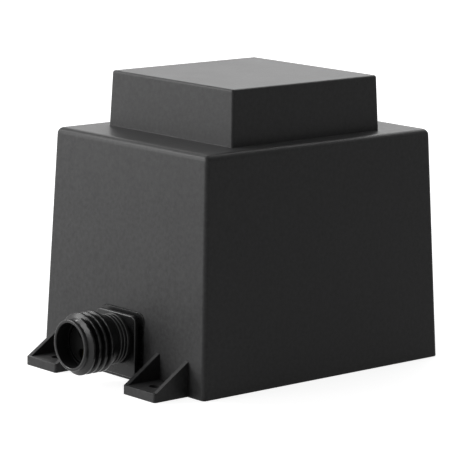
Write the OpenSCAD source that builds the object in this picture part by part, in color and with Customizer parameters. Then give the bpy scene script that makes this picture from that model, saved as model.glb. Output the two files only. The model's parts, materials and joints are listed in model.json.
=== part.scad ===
// Potted low voltage transformer for garden lighting, in millimetres.
// The origin is on the base plane, under the middle of the housing. The outlet faces -Y.

/* [Housing] */
// How far the foot of each side wall stands out from the core
side_room = 10; // [8:0.1:25]
// How far the foot of the front and back walls stands out from the core
end_room = 13.6; // [11:0.1:30]
// Height of the shoulder above the base
body_h = 92.6; // [88:0.2:120]
// Draft angle of every moulded side
draft = 2.26; // [1:0.02:3]
// Wall thickness
wall = 3; // [2:0.1:3.4]
// Radius of the body's rounded edges
edge_r = 2.6; // [1:0.1:5]

/* [Top block] */
// Width of the raised block at the shoulder
block_x = 75.4; // [66:0.2:84]
// Depth of the raised block at the shoulder
block_y = 76.6; // [74:0.2:100]
// Height of the raised block
block_h = 22; // [20:0.5:40]
// Radius of the raised block's edges
block_edge_r = 1.1; // [0.5:0.1:3]

/* [Fixing ears] */
// Distance between the two screw holes
ear_spacing = 61.4; // [57:0.2:72]
// Width of each ear
ear_w = 19.2; // [14:0.2:22]
// How far each ear stands out from the foot of the wall
ear_out = 15.8; // [12:0.2:24]
// Thickness of the ear's plate
ear_t = 3.6; // [2:0.1:6]
// Radius of the plate's front corners
ear_corner_r = 1; // [0.5:0.1:3]
// Height of the gussets at the wall
gusset_h = 13.7; // [8:0.1:24]
// Thickness of the gussets
gusset_t = 2; // [1.2:0.1:3]
// Diameter of the screw holes
screw_hole_d = 4.6; // [3:0.1:6]
// Distance of the screw holes from the foot of the wall
screw_hole_out = 7.8; // [5:0.1:9]

/* [Outlet body] */
// Height of the outlet's axis above the base
outlet_z = 16.2; // [15.6:0.1:20]
// Height of the middle of the plate and the flange
plate_z = 14.2; // [14:0.05:16]
// Width of the front plate
plate_w = 24; // [22:0.2:28]
// Height of the front plate
plate_h = 24.4; // [22.4:0.2:26]
// Thickness of the front plate
plate_t = 1.4; // [1:0.1:3]
// Corner radius of the front plate
plate_corner_r = 2.4; // [1:0.1:4]
// Width of the groove behind the plate
groove_w = 2.2; // [1:0.1:4]
// Depth of that groove on each side
groove_depth = 2.8; // [1:0.1:3]
// Width of the flange on the wall
flange_w = 26.4; // [25:0.2:30]
// Height of the flange on the wall
flange_h = 26; // [25:0.2:27]
// Thickness of the flange
flange_t = 1; // [0.8:0.1:1.2]
// Thickness of the flat gasket behind the flange
gasket_t = 0.6; // [0.4:0.1:0.7]
// How far the flange stands proud of the wall at its upper edge
flange_proud = 0.3; // [0.2:0.05:0.8]
// Length of the spigot in front of the plate
spigot_len = 22.2; // [20:0.1:30]
// Outer radius of the spigot between the threads
spigot_r = 10; // [9.6:0.05:10.2]
// Radius of the neck behind the thread
neck_r = 9; // [8.6:0.05:9.2]
// Length of the neck
neck_len = 6.1; // [5.4:0.1:7]
// Radius of the shank through the wall
shank_r = 9.2; // [8.6:0.1:9.6]

/* [Outlet thread] */
// Pitch of the thread
thread_pitch = 3; // [2.4:0.1:3.4]
// Height of the thread above the spigot
thread_h = 2; // [0.8:0.05:2.2]
// Number of turns
thread_turns = 3.85; // [2:0.05:4]
// Distance of the thread's start from the rim
thread_start = 2.3; // [2:0.1:3]
// How far the smooth rings before and behind the thread stand proud
rim_lip = 0.12; // [0.1:0.01:0.4]

/* [Neck seal] */
// Number of ribs on the seal
seal_ribs = 3; // [2:1:3]
// Distance of the first rib from the plate
seal_first = 1.35; // [0.6:0.05:1.6]
// Distance from rib to rib
seal_pitch = 1.6; // [1.2:0.1:1.8]
// Width of a rib at its foot
seal_rib_w = 0.9; // [0.6:0.1:1.1]
// Thickness of the seal between its ribs
seal_t = 0.35; // [0.2:0.05:0.6]
// Height of the ribs
seal_rib_h = 0.7; // [0.3:0.05:0.9]

/* [Socket and contacts] */
// Radius of the socket
socket_r = 8.7; // [8.6:0.05:8.9]
// Depth of the socket, down to the contact carrier's face
socket_depth = 6; // [5:0.1:8]
// Radius of the contact carrier
carrier_r = 7.6; // [6.6:0.1:7.7]
// Width of the groove round the contact carrier
carrier_groove = 0.7; // [0.4:0.1:0.8]
// Depth of that groove
carrier_groove_depth = 3.5; // [1:0.1:5]
// Distance between the two contacts
contact_spacing = 8.8; // [6:0.1:9]
// Outer radius of a contact sleeve
sleeve_r = 2; // [1.6:0.1:2.4]
// Radius of a contact sleeve's bore
sleeve_bore_r = 1.3; // [0.8:0.1:1.4]
// How far the sleeves lie behind the carrier's face
sleeve_recess = 2; // [0.3:0.1:3]

/* [Back nut] */
// Distance across the flats of the back nut
nut_flats = 25; // [23:0.5:26]
// Thickness of the back nut
nut_t = 5; // [3:0.5:8]

/* [Mains bush] */
// Height of the mains entry above the base
inlet_z = 16; // [14:0.5:20]
// Diameter of the mains lead that the bush takes
cord_d = 7.2; // [6:0.1:8.4]
// Radius of the bush in the wall
bush_r = 6; // [5.4:0.1:7]
// Radius of the bush's outer flange
bush_flange_r = 9; // [8:0.1:11]
// Thickness of the bush's outer flange
bush_flange_t = 2.6; // [2:0.1:5]
// Radius of the bush's inner lip
bush_lip_r = 7.6; // [7.2:0.1:9]
// Thickness of the bush's inner lip
bush_lip_t = 2; // [1:0.1:4]
// Depth of the lead's bed in the resin
cord_bed = 10; // [5:1:16]

/* [Core] */
// Width of the centre leg, which sets the whole plate
leg_w = 32; // [28:0.5:33]
// Height of the stack of plates
stack_h = 45; // [36:0.5:48]
// Diameter of the punched corner holes
punch_d = 5.5; // [3:0.1:6.5]

/* [Coil] */
// Clearance between the bobbin and the core
bobbin_fit = 0.4; // [0.2:0.1:0.8]
// Wall thickness of the bobbin
bobbin_t = 1.5; // [1:0.1:2]
// Thickness of the bobbin's cheeks
cheek_t = 2; // [1.2:0.1:3]
// Build of the windings on the bobbin
winding_t = 11; // [8:0.1:11.4]
// Corner radius of the windings
winding_r = 6; // [3:0.5:9]
// Thickness of the tape round each winding
wrap_t = 0.6; // [0.3:0.1:0.8]
// Radius of the terminal pins
pin_r = 1; // [0.6:0.1:1.4]
// Length of the terminal pins
pin_len = 5; // [3:0.5:6]
// Distance between terminal pins
pin_spacing = 16; // [12:0.5:18]
// Radius of the insulated leads to the contacts
lead_r = 1.7; // [1:0.1:1.9]
// Radius of the thermal cutout
cutout_r = 2.4; // [1.5:0.1:3]
// Length of the thermal cutout
cutout_len = 12; // [8:0.5:14]
// Distance of the thermal cutout from the end of its winding
cutout_inset = 3.5; // [2:0.5:8]
// Radius of the wire from the cutout to its pin
link_r = 0.7; // [0.4:0.1:1]
// Reach of the bends in that wire
link_reach = 6; // [4:0.5:7]
// Reach of the bends in the upper lead
upper_lead_reach = 12; // [9:0.5:14]
// Reach of the bends in the lower lead
lower_lead_reach = 16; // [13:0.5:18]

/* [Resin] */
// Level of the resin above the base plane
resin_z = 1; // [0.5:0.1:1.6]

/* [Hidden] */

$fn = 64;
eps = 0.01;
hull_fn = 32;

// Core: the usual proportions of a scrapless plate
yoke_w = leg_w / 2;
window_len = 1.5 * leg_w;
plate_len = 3 * leg_w;
core_x = window_len + 2 * yoke_w;

// Housing, moulded to suit the core
base_x = core_x + 2 * side_room;
base_y = plate_len + 2 * end_room;
total_h = body_h + block_h;
cavity_r = max(edge_r - wall, 0.8);
block_foot_x = block_x + 2 * inset(body_h);
block_foot_y = block_y + 2 * inset(body_h);
cavity_top = body_h - wall;
ear_front_y = -base_y / 2 - ear_out;
hole_y = -base_y / 2 - screw_hole_out;

// Outlet, along its axis: zero is the seat on the front wall, and positive is outwards
seat_fit = 0.2;
boss_rise = 0.4;
boss_root = 0.4;
shank_past_nut = 1.5;
carrier_past_shank = 1;
flange_corner_r = 3.4;
core_corner_r = 2;
flange_top_z = plate_z + flange_h / 2;
flange_front = gasket_t + flange_t;
seat_y = -base_y / 2 + inset(flange_top_z) - flange_proud + flange_front;
plate_drop = plate_z - outlet_z;
plate_back = flange_front + groove_w;
plate_front = plate_back + plate_t;
plate_edge_r = min(0.5, plate_t / 2 - 0.1);
neck_end = plate_front + neck_len;
rim_at = plate_front + spigot_len;
carrier_front = rim_at - socket_depth;
groove_floor = carrier_front - carrier_groove_depth;
nut_corner_r = nut_flats / 2 / cos(30);
nut_boss_r = nut_corner_r - boss_rise;
nut_seat = inner_face(outlet_z + nut_boss_r, seat_y) - boss_rise;
nut_end = nut_seat - nut_t;
shank_end = nut_end - shank_past_nut;
carrier_end = shank_end - carrier_past_shank;
sleeve_tail = 3;
sleeve_end = carrier_end - sleeve_tail;
sleeve_front = carrier_front - sleeve_recess;
sleeve_bore_len = 14;

// Thread
thread_steps = 20;
thread_sides = 24;
thread_top = rim_at - thread_start;
thread_flat = 0.34 * thread_pitch;
thread_base = 0.86 * thread_pitch;
thread_fade = 0.07;
thread_hi = thread_top + thread_base / 2 + thread_pitch / thread_steps;
thread_lo = thread_top - thread_pitch * thread_turns - thread_base / 2 - thread_pitch / thread_steps;
thread_rings = ceil((thread_hi - thread_lo) * thread_steps / thread_pitch);

// Neck seal
seal_len = seal_first + (seal_ribs - 1) * seal_pitch + seal_pitch / 2;

// Mains bush, along its axis: zero is the seat on the back wall, and positive is outwards
bush_seat_cut = 0.2;
bush_seat_y = base_y / 2 - inset(inlet_z + bush_flange_r) - bush_seat_cut;
bush_boss_rim = 1.5;
bush_boss_r = bush_lip_r + bush_boss_rim;
bush_inner = inner_face(inlet_z + bush_boss_r, -bush_seat_y) - boss_rise;
bush_dome_r = bush_flange_t * 0.6;

// Coil: half sizes across Y and Z at each layer
core_z = cavity_top - stack_h;
coil_z = core_z + stack_h / 2;
tube_in = [leg_w / 2 + bobbin_fit, stack_h / 2 + bobbin_fit];
tube_out = tube_in + bobbin_t * [1, 1];
winding_out = tube_out + winding_t * [1, 1];
wrap_out = winding_out + wrap_t * [1, 1];
cheek_out = leg_w / 2 + yoke_w - bobbin_fit;
cheek_half = [cheek_out, stack_h / 2 + cheek_out - leg_w / 2];
bobbin_len = window_len - 2 * bobbin_fit;
chamber_len = (bobbin_len - 3 * cheek_t) / 2;
chamber_x = (chamber_len + cheek_t) / 2;
cheek_x = (bobbin_len - cheek_t) / 2;
pin_top = coil_z - cheek_half[1];
pin_tip = pin_top - pin_len;
cutout_z = coil_z - wrap_out[1] - cutout_r;
cutout_y = -wrap_out[0] + cutout_inset;
sleeve_tail_y = seat_y - sleeve_end;

function inset(z) = z * tan(draft);
// Place of the wall's inner face at height z, measured outwards from a seat on the front wall
function inner_face(z, seat) = seat + base_y / 2 - wall - inset(z);
function clamp(v) = min(max(v, 0), 1);

// A quarter-round dome for the upper corners of a drafted block
module corner_dome(r) {
    rotate_extrude($fn = hull_fn)
        polygon([[0, 0], for (a = [0 : 90 / 8 : 90]) r * [cos(a), sin(a)]]);
}

// A drafted block with rounded upright and upper edges; x and y are its sizes at z = 0
module drafted_block(x, y, z0, z1, r) {
    hull()
        for (sx = [-1, 1], sy = [-1, 1]) {
            translate([sx * (x / 2 - inset(z0) - r), sy * (y / 2 - inset(z0) - r), z0])
                cylinder(r = r, h = eps, $fn = hull_fn);
            translate([sx * (x / 2 - inset(z1 - r) - r), sy * (y / 2 - inset(z1 - r) - r), z1 - r])
                corner_dome(r);
        }
}

// The space inside the housing, from height z0 up
module cavity(z0) {
    drafted_block(base_x - 2 * wall, base_y - 2 * wall, z0, cavity_top, cavity_r);
    drafted_block(block_foot_x - 2 * wall, block_foot_y - 2 * wall, cavity_top - 2 * wall,
        total_h - wall, cavity_r);
}

// A rectangle with round corners, centred
module rounded_rect(w, h, r) {
    square([w - 2 * r, h], center = true);
    square([w, h - 2 * r], center = true);
    for (sx = [-1, 1], sy = [-1, 1])
        translate([sx * (w / 2 - r), sy * (h / 2 - r)])
            circle(r = r);
}

// Places a shape that stands on the front wall's seat, with its own Z pointing outwards
module on_front() {
    translate([0, seat_y, outlet_z])
        rotate([90, 0, 0])
            children();
}

// Places a shape that stands on the back wall's seat, with its own Z pointing outwards
module on_back() {
    translate([0, bush_seat_y, inlet_z])
        rotate([-90, 0, 0])
            children();
}

// A slab of the outlet between two stations on its axis
module outlet_slab(w, h, r, from, to) {
    translate([0, plate_drop, from])
        linear_extrude(to - from)
            rounded_rect(w, h, r);
}

// Housing
module ear_plate() {
    inner_y = -base_y / 2 + wall / 2;
    depth = inner_y - ear_front_y;
    translate([-ear_w / 2, ear_front_y + ear_corner_r, 0])
        cube([ear_w, depth - ear_corner_r, ear_t]);
    translate([-ear_w / 2 + ear_corner_r, ear_front_y, 0])
        cube([ear_w - 2 * ear_corner_r, depth, ear_t]);
    for (s = [-1, 1])
        translate([s * (ear_w / 2 - ear_corner_r), ear_front_y + ear_corner_r, 0])
            cylinder(r = ear_corner_r, h = ear_t);
}

module gusset() {
    root_y = -base_y / 2 + wall / 2;
    wall_y = -base_y / 2 + inset(gusset_h);
    rotate([90, 0, 90])
        linear_extrude(gusset_t, center = true)
            polygon([[ear_front_y + ear_corner_r, ear_t - eps], [wall_y, gusset_h],
                [root_y, gusset_h], [root_y, ear_t - eps]]);
}

module ear() {
    ear_plate();
    for (s = [-1, 1])
        translate([s * (ear_w - gusset_t) / 2, 0, 0])
            gusset();
}

module wall_bosses() {
    on_front()
        translate([0, 0, nut_seat])
            cylinder(r = nut_boss_r, h = -nut_seat - boss_root);
    on_back()
        translate([0, 0, bush_inner])
            cylinder(r = bush_boss_r, h = -bush_inner - boss_root);
}

module housing() {
    color("#2a2a2c")
    difference() {
        union() {
            difference() {
                union() {
                    drafted_block(base_x, base_y, 0, body_h, edge_r);
                    drafted_block(block_foot_x, block_foot_y, cavity_top, total_h, block_edge_r);
                }
                cavity(-1);
            }
            for (s = [-1, 1])
                translate([s * ear_spacing / 2, 0, 0])
                    ear();
            wall_bosses();
        }
        for (s = [-1, 1])
            translate([s * ear_spacing / 2, hole_y, -1])
                cylinder(d = screw_hole_d, h = ear_t + 2);
        on_front() {
            outlet_slab(flange_w + 2 * seat_fit, flange_h + 2 * seat_fit, flange_corner_r + seat_fit,
                0, plate_back);
            translate([0, 0, nut_seat - 1])
                cylinder(r = shank_r, h = 1 - nut_seat + eps);
        }
        on_back() {
            cylinder(r = bush_flange_r + seat_fit, h = bush_flange_t + wall);
            translate([0, 0, bush_inner - 1])
                cylinder(r = bush_r, h = 1 - bush_inner + eps);
        }
    }
}

// Core
module core_e_laminations() {
    window_y = leg_w / 2 + yoke_w / 2;
    color("#7d8084")
    translate([0, 0, core_z])
        linear_extrude(stack_h)
            difference() {
                translate([-core_x / 2, -plate_len / 2])
                    square([core_x - yoke_w, plate_len]);
                for (s = [-1, 1])
                    translate([0, s * window_y])
                        square([window_len, yoke_w], center = true);
                for (s = [-1, 1])
                    translate([-(core_x - yoke_w) / 2, s * (plate_len - yoke_w) / 2])
                        circle(d = punch_d);
            }
}

module core_i_laminations() {
    color("#85888c")
    translate([0, 0, core_z])
        linear_extrude(stack_h)
            difference() {
                translate([core_x / 2 - yoke_w, -plate_len / 2])
                    square([yoke_w, plate_len]);
                for (s = [-1, 1])
                    translate([(core_x - yoke_w) / 2, s * (plate_len - yoke_w) / 2])
                        circle(d = punch_d);
            }
}

// Coil: shapes across Y and Z, drawn out along X and centred at x
module along_x(x, len) {
    translate([x, 0, coil_z])
        rotate([90, 0, 90])
            linear_extrude(len, center = true)
                children();
}

module layer(outer, inner, r_out, r_in) {
    difference() {
        rounded_rect(2 * outer[0], 2 * outer[1], r_out);
        if (r_in > 0)
            rounded_rect(2 * inner[0], 2 * inner[1], r_in);
        else
            square(2 * inner, center = true);
    }
}

module bobbin() {
    color("#e4dfd0") {
        along_x(0, bobbin_len)
            layer(tube_out, tube_in, bobbin_t / 2, 0);
        for (x = [-cheek_x, 0, cheek_x])
            along_x(x, cheek_t)
                layer(cheek_half, tube_in, bobbin_t, 0);
    }
}

module winding(x) {
    along_x(x, chamber_len)
        layer(winding_out, tube_out, winding_r, bobbin_t / 2);
}

module wrap(x) {
    along_x(x, chamber_len)
        layer(wrap_out, winding_out, winding_r + wrap_t, winding_r);
}

module primary_winding() {
    color("#b5652b")
        winding(-chamber_x);
}

module secondary_winding() {
    color("#c4752f")
        winding(chamber_x);
}

module primary_wrap() {
    color("#d9b843")
        wrap(-chamber_x);
}

module secondary_wrap() {
    color("#d9b843")
        wrap(chamber_x);
}

module pins(x, places) {
    for (y = places)
        translate([x, y, pin_tip])
            cylinder(r = pin_r, h = pin_len);
}

module primary_terminals() {
    color("#c9cacc")
        pins(-cheek_x, [-pin_spacing, 0, pin_spacing]);
}

module secondary_terminals() {
    color("#c9cacc")
        pins(cheek_x, [-pin_spacing, 0]);
}

module thermal_cutout() {
    color("#3b3f45")
        translate([-chamber_x, cutout_y, cutout_z])
            rotate([-90, 0, 0])
                cylinder(r = cutout_r, h = cutout_len);
}

// A round wire from one end to the other on a cubic curve, leaving along d0 and arriving along d1
wire_rings = 14;
wire_sides = 8;
function curve(a, b, c, d, t) =
    pow(1 - t, 3) * a + 3 * pow(1 - t, 2) * t * b + 3 * (1 - t) * t * t * c + t * t * t * d;
function slope(a, b, c, d, t) =
    pow(1 - t, 2) * (b - a) + 2 * (1 - t) * t * (c - b) + t * t * (d - c);
function unit(v) = v / norm(v);

module wire(from, d0, to, d1, r) {
    b = from + d0;
    c = to - d1;
    side = unit(cross(d0, d1));
    points = [
        for (k = [0 : wire_rings])
            let (t = k / wire_rings, ahead = unit(slope(from, b, c, to, t)))
            let (u = unit(side - ahead * (side * ahead)), v = cross(ahead, u))
            for (i = [0 : wire_sides - 1])
                curve(from, b, c, to, t)
                    + r * cos(360 * i / wire_sides) * u + r * sin(360 * i / wire_sides) * v
    ];
    polyhedron(points, tube_faces(wire_rings, wire_sides), convexity = 6);
}

// Triangles of a closed tube of rings, with its two flat ends
function tube_faces(rings, sides) = [
    for (k = [0 : rings - 1], i = [0 : sides - 1])
        let (j = (i + 1) % sides, a = k * sides, b = a + sides)
        each [[a + i, b + i, b + j], [a + i, b + j, a + j]],
    [for (i = [0 : sides - 1]) i],
    [for (i = [0 : sides - 1]) rings * sides + sides - 1 - i]
];

module cutout_link() {
    from = [-chamber_x, cutout_y + cutout_len, cutout_z];
    to = [-cheek_x, -pin_spacing, pin_tip];
    color("#9a3030")
        wire(from, [0, link_reach, 0], to, [0, 0, link_reach], link_r);
}

module secondary_lead(pin_y, z, reach) {
    color("#1c1c1e")
        wire([cheek_x, pin_y, pin_tip], [0, 0, -reach], [0, sleeve_tail_y, z], [0, -reach, 0], lead_r);
}

module secondary_lead_upper() {
    secondary_lead(-pin_spacing, outlet_z + contact_spacing / 2, upper_lead_reach);
}

module secondary_lead_lower() {
    secondary_lead(0, outlet_z - contact_spacing / 2, lower_lead_reach);
}

// Outlet
// Height of the thread at an angle and a station: a crest that starts at the top and winds inwards
function crest(d) = clamp((thread_base / 2 - abs(d)) / ((thread_base - thread_flat) / 2));
function thread_rise(angle, z) =
    let (depth = (thread_top - z) / thread_pitch, v = (450 - angle) / 360 % 1)
    let (s = round(depth - v) + v)
    let (fade = clamp(s / thread_fade) * clamp((thread_turns - s) / thread_fade))
    thread_h * fade * crest((depth - s) * thread_pitch);

module threaded_tube() {
    step = (thread_hi - thread_lo) / thread_rings;
    points = [
        for (k = [0 : thread_rings], i = [0 : thread_sides - 1])
            let (z = thread_lo + k * step, angle = 360 * i / thread_sides)
            let (r = spigot_r + thread_rise(angle, z))
            [r * cos(angle), r * sin(angle), z]
    ];
    polyhedron(points, tube_faces(thread_rings, thread_sides), convexity = 10);
}

// The front plate, with its edges rounded
module outlet_plate() {
    x = plate_w / 2 - plate_corner_r;
    y = plate_h / 2 - plate_corner_r;
    translate([0, plate_drop, plate_back])
        hull()
            for (sx = [-1, 1], sy = [-1, 1])
                translate([sx * x, sy * y, 0]) {
                    cylinder(r = plate_corner_r, h = plate_t - plate_edge_r, $fn = hull_fn);
                    cylinder(r = plate_corner_r - plate_edge_r, h = plate_t, $fn = hull_fn);
                }
}

module outlet_socket() {
    core_w = plate_w - 2 * groove_depth;
    core_h = plate_h - 2 * groove_depth;
    color("#1f1f21")
    on_front()
    difference() {
        union() {
            translate([0, 0, shank_end])
                cylinder(r = shank_r, h = gasket_t - shank_end);
            outlet_slab(flange_w, flange_h, flange_corner_r, gasket_t, flange_front);
            outlet_slab(core_w, core_h, core_corner_r, flange_front, plate_back);
            outlet_plate();
            translate([0, 0, plate_front])
                cylinder(r = neck_r, h = neck_len);
            translate([0, 0, neck_end])
                cylinder(r = spigot_r + rim_lip, h = thread_lo - neck_end);
            threaded_tube();
            translate([0, 0, thread_hi])
                cylinder(r = spigot_r + rim_lip, h = rim_at - thread_hi);
        }
        translate([0, 0, carrier_front])
            cylinder(r = socket_r, h = socket_depth + 1);
        translate([0, 0, groove_floor])
            cylinder(r = carrier_r + carrier_groove, h = carrier_groove_depth + 1);
        translate([0, 0, shank_end - 1])
            cylinder(r = carrier_r, h = groove_floor - shank_end + 2);
    }
}

module outlet_neck_seal() {
    rib_half = seal_rib_w / 2;
    rib_tops = [for (n = [0 : seal_ribs - 1]) seal_first + n * seal_pitch];
    base = neck_r + seal_t;
    top = base + seal_rib_h;
    color("#161617")
    on_front()
        translate([0, 0, plate_front])
            rotate_extrude()
                polygon([
                    [neck_r, 0],
                    for (z = rib_tops)
                        each [[base, z - rib_half], [top, z - rib_half / 3],
                            [top, z + rib_half / 3], [base, z + rib_half]],
                    [base, seal_len],
                    [neck_r, seal_len]
                ]);
}

module outlet_gasket() {
    color("#101011")
    on_front()
    difference() {
        outlet_slab(flange_w, flange_h, flange_corner_r, 0, gasket_t);
        translate([0, 0, -1])
            cylinder(r = shank_r, h = gasket_t + 2);
    }
}

module outlet_back_nut() {
    color("#3a3a3d")
    on_front()
        translate([0, 0, nut_end])
            difference() {
                cylinder(r = nut_corner_r, h = nut_t, $fn = 6);
                translate([0, 0, -1])
                    cylinder(r = shank_r, h = nut_t + 2);
            }
}

module at_contacts() {
    for (s = [-1, 1])
        translate([0, s * contact_spacing / 2, 0])
            children();
}

module contact_carrier() {
    color("#232325")
    on_front()
    difference() {
        translate([0, 0, carrier_end])
            cylinder(r = carrier_r, h = carrier_front - carrier_end);
        at_contacts()
            translate([0, 0, carrier_end - 1])
                cylinder(r = sleeve_r, h = carrier_front - carrier_end + 2);
    }
}

module contact_sleeves() {
    color("#c9a24a")
    on_front()
        at_contacts()
            difference() {
                translate([0, 0, sleeve_end])
                    cylinder(r = sleeve_r, h = sleeve_front - sleeve_end);
                translate([0, 0, sleeve_front - sleeve_bore_len])
                    cylinder(r = sleeve_bore_r, h = sleeve_bore_len + 1);
            }
}

// Mains bush: a rubber collar with a domed outer flange and an inner lip
module mains_bush() {
    dome_x = bush_flange_r - bush_dome_r;
    dome_z = bush_flange_t - bush_dome_r;
    lip_end = bush_inner - bush_lip_t;
    color("#18181a")
    on_back()
    rotate_extrude()
        polygon([
            [cord_d / 2, lip_end],
            [bush_lip_r, lip_end],
            [bush_lip_r, bush_inner],
            [bush_r, bush_inner],
            [bush_r, 0],
            [bush_flange_r, 0],
            for (a = [0 : 15 : 90]) [dome_x + bush_dome_r * cos(a), dome_z + bush_dome_r * sin(a)],
            [cord_d / 2, bush_flange_t]
        ]);
}

// Resin: what is left of the housing's inside once everything is in place
module potting_resin() {
    color("#1b1b1c")
    difference() {
        cavity(resin_z);
        wall_bosses();
        core_e_laminations();
        core_i_laminations();
        bobbin();
        winding(-chamber_x);
        winding(chamber_x);
        wrap(-chamber_x);
        wrap(chamber_x);
        primary_terminals();
        secondary_terminals();
        thermal_cutout();
        cutout_link();
        secondary_lead_upper();
        secondary_lead_lower();
        on_front()
            translate([0, 0, shank_end])
                cylinder(r = shank_r, h = -shank_end);
        outlet_back_nut();
        contact_carrier();
        contact_sleeves();
        on_back() {
            translate([0, 0, bush_inner - bush_lip_t])
                cylinder(r = bush_lip_r, h = bush_lip_t);
            translate([0, 0, bush_inner - bush_lip_t - cord_bed])
                cylinder(d = cord_d, h = cord_bed + 1);
        }
    }
}

housing();
potting_resin();
core_e_laminations();
core_i_laminations();
bobbin();
primary_winding();
secondary_winding();
primary_wrap();
secondary_wrap();
primary_terminals();
secondary_terminals();
thermal_cutout();
cutout_link();
outlet_socket();
outlet_neck_seal();
outlet_gasket();
outlet_back_nut();
contact_carrier();
contact_sleeves();
secondary_lead_upper();
secondary_lead_lower();
mains_bush();
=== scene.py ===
# %% [markdown]
# # A potted low voltage transformer
# The object is a black moulded box that holds a laminated transformer cast in resin. It has a
# raised block on top, two fixing ears at its foot and a threaded outlet on its front. Its
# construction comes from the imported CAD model, which is loaded here as a fixed frame. This file
# gives it its looks: finer meshes for the pieces that show, a procedural finish for every surface,
# a floor, soft light and a camera.

# %% Load the frame
import json
import math

import bmesh
import bpy
from mathutils import Matrix, Vector


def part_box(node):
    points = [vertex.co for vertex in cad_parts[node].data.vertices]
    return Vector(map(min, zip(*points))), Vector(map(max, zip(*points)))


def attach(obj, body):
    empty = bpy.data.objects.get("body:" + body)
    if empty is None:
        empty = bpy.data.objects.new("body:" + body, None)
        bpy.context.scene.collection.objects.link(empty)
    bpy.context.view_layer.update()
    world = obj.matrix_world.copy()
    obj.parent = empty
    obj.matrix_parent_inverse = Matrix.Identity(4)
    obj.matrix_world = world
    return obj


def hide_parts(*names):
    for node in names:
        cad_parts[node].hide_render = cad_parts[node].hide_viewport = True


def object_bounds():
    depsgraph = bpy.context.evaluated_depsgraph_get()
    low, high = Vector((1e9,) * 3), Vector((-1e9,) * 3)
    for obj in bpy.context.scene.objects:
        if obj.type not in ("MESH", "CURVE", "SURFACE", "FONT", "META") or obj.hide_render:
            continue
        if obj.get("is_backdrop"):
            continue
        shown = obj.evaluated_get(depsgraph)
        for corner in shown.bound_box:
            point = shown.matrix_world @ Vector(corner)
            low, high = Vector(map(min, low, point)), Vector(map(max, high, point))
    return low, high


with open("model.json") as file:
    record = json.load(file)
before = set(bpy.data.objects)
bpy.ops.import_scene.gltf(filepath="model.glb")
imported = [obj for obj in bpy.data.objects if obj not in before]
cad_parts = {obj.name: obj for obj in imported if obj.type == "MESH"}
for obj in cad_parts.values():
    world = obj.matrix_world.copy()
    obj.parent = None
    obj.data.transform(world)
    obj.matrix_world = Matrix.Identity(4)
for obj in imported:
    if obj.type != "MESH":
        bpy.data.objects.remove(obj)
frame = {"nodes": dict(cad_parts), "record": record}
cad_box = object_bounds()
for plain_finish in list(bpy.data.materials):
    bpy.data.materials.remove(plain_finish)
nodes = frame["nodes"]
mounts = {mount["name"]: mount for mount in frame["record"]["mounts"]}
MM = 0.001


def in_mm(corner):
    """A point as a short list of millimetres, for printing."""
    return [round(value / MM, 1) for value in corner]


print("nodes in the frame:", len(nodes))
print("box of the frame in mm:", in_mm(cad_box[0]), in_mm(cad_box[1]))

# %% [markdown]
# ## Camera
# The picture to match was taken from a low stand at the corner between the outlet's face and the
# right side, with a long lens. The numbers were found by fitting the box's edges. The lens could be
# shifted to place the object in the frame, but a shift stays when the camera is moved to another
# side. So the camera is aimed a few millimetres beside the middle of the object instead.

# %% Camera at the picture's angle
IMAGE_PX = 460
FOCAL_PX = 2727.1
SENSOR_MM = 36
AZIMUTH = math.radians(49.07)
ELEVATION = math.radians(10.54)
ROLL = math.radians(0.61)
DISTANCE = 1089.3 * MM
TARGET = Vector((0, 0, 51.22 * MM))
SIDESTEP = 4.93 * MM


def toward(azimuth, elevation):
    """Unit vector from the object to a place round it; azimuth 0 is in front of the outlet."""
    level = math.cos(elevation)
    return Vector((math.sin(azimuth) * level, -math.cos(azimuth) * level, math.sin(elevation)))


def aimed(place, aim, roll=0.0):
    """Matrix of a camera or a lamp at a place that points at aim."""
    turn = (aim - place).to_track_quat("-Z", "Y").to_matrix()
    return Matrix.LocRotScale(place, turn @ Matrix.Rotation(roll, 3, "Z"), None)


def placed(name, data, matrix=None):
    """A new object in the scene."""
    made = bpy.data.objects.new(name, data)
    bpy.context.scene.collection.objects.link(made)
    if matrix is not None:
        made.matrix_world = matrix
    return made


lens = bpy.data.cameras.new("camera")
lens.sensor_width = SENSOR_MM
lens.lens = FOCAL_PX / IMAGE_PX * SENSOR_MM
stand = TARGET + DISTANCE * toward(AZIMUTH, ELEVATION)
picture_right = Vector((math.cos(AZIMUTH), math.sin(AZIMUTH), 0))
aim_point = TARGET - SIDESTEP * picture_right
bpy.context.scene.camera = placed("camera", lens, aimed(stand, aim_point, ROLL))
bpy.context.scene.view_settings.view_transform = "Standard"
print("lens in mm:", round(lens.lens, 1), "camera at:", in_mm(stand))

# %% [markdown]
# ## Node trees as expressions
# Finishes are made of many small sums, such as a mask times a noise. Adding each Math node by hand
# hides the sum. A Wire stands for one output socket, and Python's operators on it add the Math
# nodes. Every other node comes from one method that takes its type, its sockets and its settings.

# %% Wires
class Wire:
    """One output socket. Arithmetic on it adds Math nodes to its tree."""

    def __init__(self, tree, socket):
        self.tree = tree
        self.socket = socket

    def math(self, operation, *values):
        return self.tree.math(operation, self, *values)

    def __add__(self, other):
        return self.math("ADD", other)

    def __radd__(self, other):
        return self.tree.math("ADD", other, self)

    def __sub__(self, other):
        return self.math("SUBTRACT", other)

    def __rsub__(self, other):
        return self.tree.math("SUBTRACT", other, self)

    def __mul__(self, other):
        return self.math("MULTIPLY", other)

    def __rmul__(self, other):
        return self.tree.math("MULTIPLY", other, self)

    def __truediv__(self, other):
        return self.math("DIVIDE", other)

    def clamped(self):
        return self.tree.node("ShaderNodeClamp", {"Value": self})

    def eased(self):
        """A value from 0 to 1 with a soft start and end."""
        return self * self * (3 - 2 * self)


print("arithmetic on a Wire adds Math nodes")

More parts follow.
